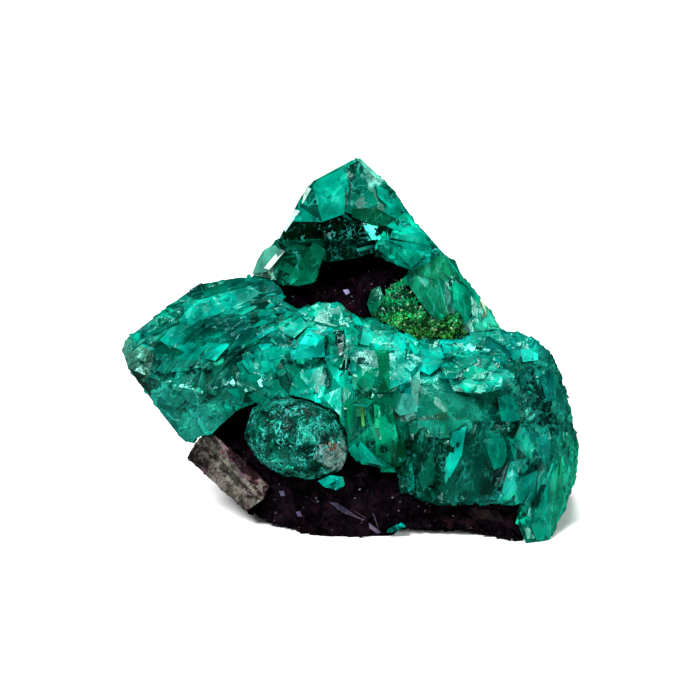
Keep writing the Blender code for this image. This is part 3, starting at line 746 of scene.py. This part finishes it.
RIDGE_FACES = [
    ([(309, 330), (324, 339), (318, 347), (299, 344)], (0.0, 0.52, 0.43), 0.65, (0, -0.3)),
    ([(299, 343), (318, 346), (314, 358), (295, 364)], (0.0, 0.46, 0.37), 0.7, (0.2, 0.4)),
    ([(318, 346), (325, 340), (323, 352), (315, 359)], (0.0, 0.20, 0.16), 0.4, (0.6, 0.1)),
    ([(330, 334), (336, 331), (338, 376), (333, 378)], (0.0, 0.035, 0.028), 0.65, (-0.4, 0)),
    ([(337, 331), (344, 330), (343, 374), (339, 377)], (0.001, 0.012, 0.011), 0.7, (0.2, 0)),
    ([(344, 330), (350, 332), (347, 368), (343, 374)], (0.0, 0.05, 0.04), 0.65, (0.5, 0)),
    ([(338, 344), (343, 342), (343, 354), (339, 356)], (0.09, 0.11, 0.12), 0.7, (0.2, 0)),
    ([(352, 324), (364, 325), (377, 335), (374, 347), (360, 344), (352, 335)], (0.01, 0.40, 0.31), 0.18, (0.2, -0.2)),
    ([(374, 334), (394, 329), (396, 334), (389, 350), (391, 391), (353, 389), (350, 356), (356, 348)], (0.0, 0.19, 0.10), 0.18, (0, 0)),
    ([(372, 350), (389, 350), (390, 392), (374, 393)], (0.0, 0.18, 0.08), 0.30, (-0.3, 0)),
    ([(396, 334), (404, 342), (411, 357), (411, 380), (396, 384), (391, 390), (390, 375), (389, 350)], (0.0, 0.30, 0.235), 0.27, (0.25, 0)),
    ([(322, 396), (341, 386), (342, 418), (330, 412)], (0.0, 0.30, 0.22), 0.18, (-0.2, 0.2)),
    ([(356, 396), (374, 400), (366, 408), (352, 405)], (0.0, 0.36, 0.27), 0.24, (0, -0.4)),
    ([(346, 402), (372, 398), (395, 410), (396, 445), (388, 463), (362, 464), (350, 444)], (0.0, 0.16, 0.065), 0.12, (0, 0)),
    ([(360, 406), (363, 406), (365, 426), (362, 427)], (0.05, 0.24, 0.05), 0.24, (0, 0)),
    ([(374, 404), (380, 406), (383, 455), (376, 455)], (0.0, 0.26, 0.12), 0.24, (0.3, 0)),
    ([(390, 395), (405, 393), (419, 398), (417, 412), (400, 415), (391, 408)], (0.05, 0.42, 0.34), 0.15, (0, 0)),
    ([(444, 367), (470, 364), (515, 371), (508, 384), (480, 393), (457, 387)], (0.01, 0.40, 0.31), 0.18, (0, -0.25)),
    ([(443, 367), (448, 370), (458, 385), (482, 391), (482, 395), (454, 390)], (0.22, 0.62, 0.52), 0.25, (0, 0)),
    ([(414, 402), (440, 391), (475, 396), (483, 415), (470, 432), (440, 439), (418, 428)], (0.006, 0.14, 0.10), 0.12, (0, 0.1)),
    ([(418, 418), (446, 412), (447, 436), (426, 437)], (0.02, 0.12, 0.07), 0.18, (0.1, 0.1)),
    ([(520, 350), (538, 347), (538, 360), (523, 362)], (0.01, 0.46, 0.38), 0.18, (0.2, -0.2)),
    # painted highlight: a small ring of reflected light
    ([(525, 410), (531, 407), (536, 413), (532, 421), (526, 419)], (0.05, 0.36, 0.30), 0.15, (0, 0)),
    ([(469, 330), (500, 331), (506, 345), (490, 349), (472, 346)], (0.0, 0.22, 0.16), 0.15, (0, -0.2)),
    ([(461, 428), (467, 426), (459, 452), (446, 484), (444, 478), (453, 450)], (0.01, 0.30, 0.23), 0.14, (0, 0)),
    ([(547, 463), (554, 463), (546, 486), (532, 509), (526, 506), (539, 484)], (0.01, 0.36, 0.28), 0.16, (0, 0)),
    ([(452, 432), (466, 428), (462, 455), (450, 478), (444, 470)], (0.0, 0.26, 0.20), 0.15, (0, 0)),
    ([(507, 438), (520, 440), (528, 458), (518, 474), (510, 462)], (0.0, 0.15, 0.115), 0.15, (0.1, 0)),
    ([(520, 478), (538, 470), (534, 498), (515, 506)], (0.0, 0.17, 0.13), 0.15, (0.1, 0.1)),
    ([(485, 335), (508, 340), (512, 356), (490, 358)], (0.0, 0.09, 0.08), 0.2, (0.1, -0.1)),
    ([(540, 375), (556, 372), (562, 398), (546, 402)], (0.0, 0.08, 0.07), 0.2, (0.3, 0)),
    ([(518, 372), (534, 368), (538, 388), (522, 392)], (0.0, 0.06, 0.05), 0.2, (0.1, 0)),
    ([(418, 449), (432, 447), (436, 474), (424, 492), (417, 478)], (0.0, 0.065, 0.038), 0.10, (0.1, 0)),
    ([(404, 468), (412, 462), (415, 488), (408, 492)], (0.0, 0.12, 0.09), 0.14, (-0.2, 0)),
    ([(467, 433), (500, 430), (518, 450), (512, 500), (480, 507), (458, 482)], (0.0, 0.14, 0.095), 0.10, (-0.1, 0.1)),
    ([(538, 465), (556, 463), (572, 480), (566, 510), (552, 539), (531, 540), (534, 510)], (0.0, 0.18, 0.13), 0.10, (0.1, 0)),
    ([(392, 440), (403, 436), (408, 458), (398, 470)], (0.0, 0.05, 0.02), 0.2, (0, 0)),
    ([(366, 440), (374, 440), (375, 447), (367, 448)], (0.0, 0.02, 0.008), 0.25, (0, 0)),
    ([(380, 446), (386, 446), (387, 452), (380, 453)], (0.0, 0.02, 0.008), 0.25, (0, 0)),
    ([(524, 528), (536, 528), (538, 538), (527, 539)], (0.06, 0.28, 0.19), 0.18, (0, 0)),
    ([(160, 340), (197, 300), (250, 286), (262, 293), (206, 320), (170, 348)], (0.0, 0.29, 0.225), 0.10, (0, 0)),
    ([(205, 357), (240, 325), (249, 323), (215, 361)], (0.0, 0.37, 0.29), 0.21, (0.1, -0.2)),
    ([(215, 352), (262, 318), (272, 322), (228, 358)], (0.0, 0.20, 0.15), 0.15, (0.1, 0.3)),
    ([(150, 356), (200, 318), (205, 323), (158, 362)], (0.0, 0.12, 0.09), 0.12, (0, 0.3)),
    ([(158, 351), (170, 345), (184, 352), (172, 361)], (0.0, 0.05, 0.035), 0.18, (0, 0.2)),
    ([(188, 367), (200, 363), (208, 369), (197, 377)], (0.0, 0.05, 0.035), 0.18, (0, 0.2)),
    ([(314, 321), (320, 308), (337, 305), (351, 312), (353, 322), (335, 327)], (0.0, 0.20, 0.13), 0.10, (0, -0.2)),
    ([(283, 322), (300, 316), (308, 326), (294, 338), (284, 334)], (0.0, 0.28, 0.21), 0.18, (-0.1, -0.2)),
    ([(255, 352), (280, 345), (290, 360), (270, 378), (254, 370)], (0.0, 0.22, 0.16), 0.18, (0.15, 0.1)),
    ([(300, 372), (324, 366), (330, 384), (312, 396), (298, 390)], (0.0, 0.30, 0.22), 0.18, (-0.2, 0.15)),
    ([(415, 352), (440, 346), (446, 362), (430, 372), (414, 368)], (0.0, 0.36, 0.28), 0.18, (0.1, -0.2)),
    ([(410, 340), (430, 345), (424, 356), (408, 350)], (0.0, 0.26, 0.19), 0.18, (0, -0.2)),
    ([(484, 440), (510, 436), (514, 462), (494, 470)], (0.0, 0.11, 0.075), 0.24, (0.25, 0.1)),
    ([(498, 396), (516, 392), (520, 420), (502, 424)], (0.0, 0.26, 0.19), 0.15, (0.2, 0)),
]
PEAK_FACES = [
    ([(293, 221), (299, 206), (312, 184), (330, 174), (346, 167), (349, 190), (344, 214), (322, 222)], (0.000, 0.168, 0.122), 0.3, (0, 0)),
    ([(345, 168), (359, 160), (371, 178), (379, 204), (352, 214), (345, 212)], (0.000, 0.068, 0.046), 0.25, (0.1, 0)),
    # the pale strip along the peak's left edge is a painted reflection of its bright side face
    ([(308, 187), (311, 188), (299, 210), (295, 209)], (0.42, 0.58, 0.54), 0.3, (-0.6, 0)),
    ([(295, 209), (299, 210), (285, 232), (281, 233)], (0.42, 0.58, 0.54), 0.3, (-0.6, 0)),
    ([(352, 209), (375, 207), (399, 220), (398, 227), (372, 225), (352, 217)], (0.0, 0.028, 0.012), 0.3, (0, 0.3)),
    ([(356, 249), (371, 245), (371, 248), (358, 252)], (0.02, 0.34, 0.27), 0.25, (0, 0)),
    ([(315, 241), (326, 251), (313, 281), (285, 283), (301, 257)], (0.0, 0.09, 0.045), 0.25, (0, 0)),
    ([(275, 245), (282, 252), (266, 272), (252, 274), (256, 260), (264, 248)], (0.06, 0.26, 0.20), 0.25, (-0.3, 0)),
    ([(280, 249), (285, 251), (269, 270), (264, 268)], (0.95, 1.0, 0.97), 0.6, (0, 0)),
    ([(264, 248), (267, 250), (257, 268), (252, 272), (256, 260)], (0.75, 0.85, 0.80), 0.5, (-0.3, 0)),
    ([(389, 236), (399, 218), (407, 213), (414, 222)], (0.000, 0.204, 0.150), 0.3, (0.2, -0.5)),
    ([(389, 236), (414, 221), (421, 232)], (0.000, 0.211, 0.161), 0.35, (0.2, 0.4)),
    ([(388, 237), (421, 231), (431, 246)], (0.000, 0.186, 0.128), 0.3, (0.1, -0.3)),
    ([(386, 238), (430, 245), (424, 256)], (0.000, 0.180, 0.130), 0.35, (0.1, 0.4)),
    ([(384, 240), (425, 255), (411, 268)], (0.000, 0.180, 0.120), 0.3, (0, -0.2)),
    ([(383, 240), (411, 267), (393, 262), (378, 249)], (0.000, 0.132, 0.084), 0.25, (0, 0.3)),
    ([(414, 263), (432, 252), (448, 262), (452, 276), (436, 280), (420, 275)], (0.003, 0.136, 0.060), 0.2, (0, -0.1)),
    ([(452, 280), (464, 286), (480, 300), (480, 318), (466, 322), (454, 305)], (0.0, 0.23, 0.13), 0.2, (0.2, 0)),
    ([(480, 300), (484, 303), (487, 315), (482, 318)], (0.5, 0.6, 0.35), 0.3, (0.3, 0)),
    ([(464, 322), (478, 314), (480, 326), (472, 335), (462, 332)], (0.01, 0.40, 0.31), 0.25, (0.1, 0.1)),
    ([(376, 184), (396, 194), (404, 210), (390, 208), (378, 196)], (0.000, 0.204, 0.145), 0.2, (0.3, 0)),
]


def build(name, node, zones, material, seed, faces=()):
    crystals = scatter(node, zones, seed, clear=[row[0] for row in faces])
    crystals += [f for f in faces_of(node, faces) if f is not None]
    mesh = fuse(base_object(node), crystals)
    colour_base(mesh, zones, seed + 1)
    # painted shade in the crevices, baked into the face colours
    paint_crevice_shade(mesh)
    return piece(name, mesh, material, node)


build("ridge", "crystal_ridge", RIDGE_ZONES, ridge_material, 11, RIDGE_FACES)
build("peak", "peak_crystal", PEAK_ZONES, peak_material, 21, PEAK_FACES)
VEINS = [
    ([(329, 502), (337, 503), (350, 511), (360, 519), (343, 513)], (7, 16, 13), 0.3, (0, 0)),
    ([(358, 517), (364, 519), (381, 532), (378, 534), (366, 526)], (10, 20, 17), 0.3, (0, 0)),
    ([(296, 512), (300, 511), (302, 516), (298, 517)], (14, 26, 24), 0.3, (0, 0)),
    ([(279, 491), (284, 491), (285, 496), (281, 496)], (10, 24, 20), 0.3, (0, 0)),
    ([(343, 290), (348, 289), (350, 293), (346, 295)], (60, 110, 100), 0.3, (0, 0)),
    ([(304, 497), (306, 496), (317, 503)], (5, 10, 8), 0.25, (0, 0)),
    ([(372, 513), (375, 515), (379, 531)], (6, 12, 10), 0.25, (0, 0)),
    ([(368, 520), (365, 517), (349, 508)], (5, 10, 8), 0.25, (0, 0)),
    ([(500, 512), (528, 507), (533, 528), (512, 531)], (0.3, 15, 8), 0.15, (0, 0)),
    ([(470, 508), (498, 511), (505, 522), (480, 519)], (2.2, 3.0, 1.6), 0.12, (0, 0)),
]
build("rock_mass", "matrix_rock", ROCK_ZONES, rock, 31, VEINS)
build("grey_rock", "grey_block", GREY_ZONES, grey, 41)
# A reddish patch, then dark spots laid over the lump where its pits are: the pits' darkness is painted shade, they are
# not cut into the solid.
NODULE_STAIN_AND_PAINTED_PITS = [
    ([(328, 443), (333, 440), (337, 444), (336, 451), (330, 452)], (0.60, 0.13, 0.09), 0.3, (0, 0)),
    ([(259, 411), (266, 409), (269, 414), (263, 418)], (0.0, 0.015, 0.01), 0.15, (0, 0)),
    ([(284, 424), (291, 421), (294, 427), (287, 430)], (0.0, 0.015, 0.01), 0.15, (0, 0)),
    ([(262, 438), (267, 436), (270, 441), (264, 444)], (0.0, 0.015, 0.01), 0.15, (0, 0)),
    ([(303, 412), (312, 411), (316, 415), (306, 417)], (0.0, 0.02, 0.012), 0.15, (0, 0)),
]
build("round_lump", "nodule", NODULE_ZONES, nodule_material, 51, NODULE_STAIN_AND_PAINTED_PITS)
SMALL = [dict(at=(0, 0), r=(1, 1), kind="block", size=(0.3, 0.9), per_mm2=2.0, lift=0.1, paint=(0.0, 0.24, 0.12))]
build("pocket_crystal", "cavity_crystal", SMALL, clear_material, 61)
BRIGHT = [dict(SMALL[0], paint=(0.0, 0.46, 0.36))]
build("bladed_crystal", "under_crystal", BRIGHT, clear_material, 71)
build("chip", "base_chip", BRIGHT, clear_material, 81)


def druse_mesh():
    """Carpet of tiny prisms that stand out of the patch."""
    rng = random.Random(91)
    bm = solid_of("druse")
    bmesh.ops.triangulate(bm, faces=bm.faces)
    faces = [(f.calc_area(), [v.co.copy() for v in f.verts], f.normal.copy()) for f in bm.faces]
    bm.free()
    verts, polys, paints, grains = [], [], [], []
    bed = solid_of("druse")
    bmesh.ops.triangulate(bed, faces=bed.faces)
    middle = sum((v.co for v in bed.verts), Vector()) / len(bed.verts)
    for v in bed.verts:
        verts.append(v.co - (v.co - middle).normalized() * 0.22 * MM)
    bed.verts.index_update()
    for f in bed.faces:
        polys.append([v.index for v in f.verts])
        paints.append((0.002, 0.02, 0.005, 1.0))
        grains.append((0.0, 0.0, 1.0))
    bed.free()
    for area, (a, b, c), n in faces:
        wanted = area / MM / MM * 38.0
        for _ in range(int(wanted) + (1 if rng.random() < wanted - int(wanted) else 0)):
            u, v = rng.random(), rng.random()
            if u + v > 1.0:
                u, v = 1.0 - u, 1.0 - v
            p = a + (b - a) * u + (c - a) * v
            if not free_space("druse", p, n, 0.35 * MM):
                continue
            x, y, d = seen(p)
            lump = noise.noise(p / MM * 0.9)
            out = (n + Vector((rng.gauss(0, 1), rng.gauss(0, 1), rng.gauss(0, 1))) * 0.55).normalized()
            wide = rng.uniform(0.08, 0.18) * MM
            tall = rng.uniform(0.25, 0.55) * MM
            base = p - n * (0.30 - 0.22 * lump) * MM
            m = basis(out, Vector((rng.gauss(0, 1), rng.gauss(0, 1), rng.gauss(0, 1))))
            start = len(verts)
            for level, shrink in ((0.0, 1.0), (tall, 0.85)):
                for s in range(5):
                    t = 2 * math.pi * s / 5
                    verts.append(base + m @ Vector((math.cos(t) * wide * shrink, math.sin(t) * wide * shrink, level)))
            verts.append(base + m @ Vector((0, 0, tall + wide * 0.9)))
            yellow = min(1.0, max(0.0, (y - 305.0) / 25.0 + rng.gauss(0, 0.25)))
            colour = [g + (h - g) * yellow for g, h in zip((0.002, 0.32, 0.11), (0.035, 0.21, 0.03))]
            # painted shade: crystals that sit deeper, where the lump noise is low, are darker
            colour = [c * (0.15 + 1.0 * min(1.0, max(0.0, 0.5 + 1.8 * lump))) for c in colour]
            colour = vary(rng, colour, 0.35, 0.15, 0.2)
            if rng.random() < 0.06:
                colour = (0.30, 0.46, 0.22, 1.0)
            for s in range(5):
                s2 = (s + 1) % 5
                polys.append([start + s, start + s2, start + 5 + s2, start + 5 + s])
                polys.append([start + 5 + s, start + 5 + s2, start + 10])
                paints += [colour, colour]
                grains += [tuple(out)] * 2
            polys.append([start + s for s in reversed(range(5))])
            paints.append(colour)
            grains.append(tuple(out))
    mesh = bpy.data.meshes.new("druse_crystals")
    mesh.from_pydata([tuple(v) for v in verts], [], polys)
    layer = mesh.attributes.new("paint", "FLOAT_COLOR", "FACE")
    layer.data.foreach_set("color", [c for colour in paints for c in colour])
    layer = mesh.attributes.new("grain", "FLOAT_VECTOR", "FACE")
    layer.data.foreach_set("vector", [c for g in grains for c in g])
    mesh.validate()
    mesh.update()
    return mesh


piece("druse_carpet", druse_mesh(), druse_material, "druse")

# ---------------------------------------------------------------- floor, light and camera

scene = bpy.context.scene
floor_mesh = bpy.data.meshes.new("floor")
floor_mesh.from_pydata([(-3, -3, 0), (3, -3, 0), (3, 3, 0), (-3, 3, 0)], [], [(0, 1, 2, 3)])
floor = bpy.data.objects.new("floor", floor_mesh)
floor_material = bpy.data.materials.new("floor")
floor_material.use_nodes = True
floor_material.node_tree.nodes["Principled BSDF"].inputs["Base Color"].default_value = (0.9, 0.9, 0.9, 1.0)
floor_material.node_tree.nodes["Principled BSDF"].inputs["Roughness"].default_value = 0.9
floor_material.node_tree.nodes["Principled BSDF"].inputs["Specular IOR Level"].default_value = 0.1
floor_mesh.materials.append(floor_material)
scene.collection.objects.link(floor)
floor.visible_glossy = False


def area_light(name, place, size, power, glossy=False):
    data = bpy.data.lights.new(name, "AREA")
    data.shape = "DISK"
    data.size = size
    data.energy = power
    obj = bpy.data.objects.new(name, data)
    obj.location = place
    aim = Vector((0.0, 0.0, -1.0)) if name == "floor_behind" else Vector((0.0, 0.0, 0.016)) - Vector(place)
    obj.rotation_euler = aim.to_track_quat("-Z", "Y").to_euler()
    obj.visible_glossy = glossy
    scene.collection.objects.link(obj)


area_light("key", (-0.16, -0.22, 0.27), 0.12, 2.3)
area_light("fill", (0.24, -0.26, 0.13), 0.14, 1.0)
area_light("top", (0.02, 0.08, 0.34), 0.12, 1.3)
area_light("floor_behind", (0.0, 0.5, 0.25), 0.3, 0.8)
area_light("glint_left", (-0.34, -0.05, 0.16), 0.04, 0.06, True)
area_light("glint_right", (0.34, -0.07, 0.17), 0.04, 0.06, True)
area_light("glint_back", (0.03, 0.13, 0.33), 0.04, 0.06, True)


world = bpy.data.worlds.new("studio")
world.use_nodes = True
world.node_tree.nodes["Background"].inputs["Color"].default_value = (1.0, 1.0, 1.0, 1.0)
world.node_tree.nodes["Background"].inputs["Strength"].default_value = 0.14
scene.world = world
world.cycles_visibility.glossy = False
scene.view_settings.view_transform = "Standard"
scene.cycles.max_bounces = 7
scene.cycles.diffuse_bounces = 2
scene.cycles.glossy_bounces = 3
scene.cycles.transmission_bounces = 6
scene.cycles.volume_bounces = 0
scene.cycles.use_denoising = True

camera_data = bpy.data.cameras.new("camera")
camera_data.sensor_width = 36.0
camera_data.lens = 36.0 * DISTANCE / (700.0 * UNIT)
camera_data.clip_start = 0.02
camera_data.clip_end = 20.0
camera = bpy.data.objects.new("camera", camera_data)
camera.location = EYE
camera.rotation_euler = AWAY.to_track_quat("-Z", "Y").to_euler()
scene.collection.objects.link(camera)
scene.camera = camera
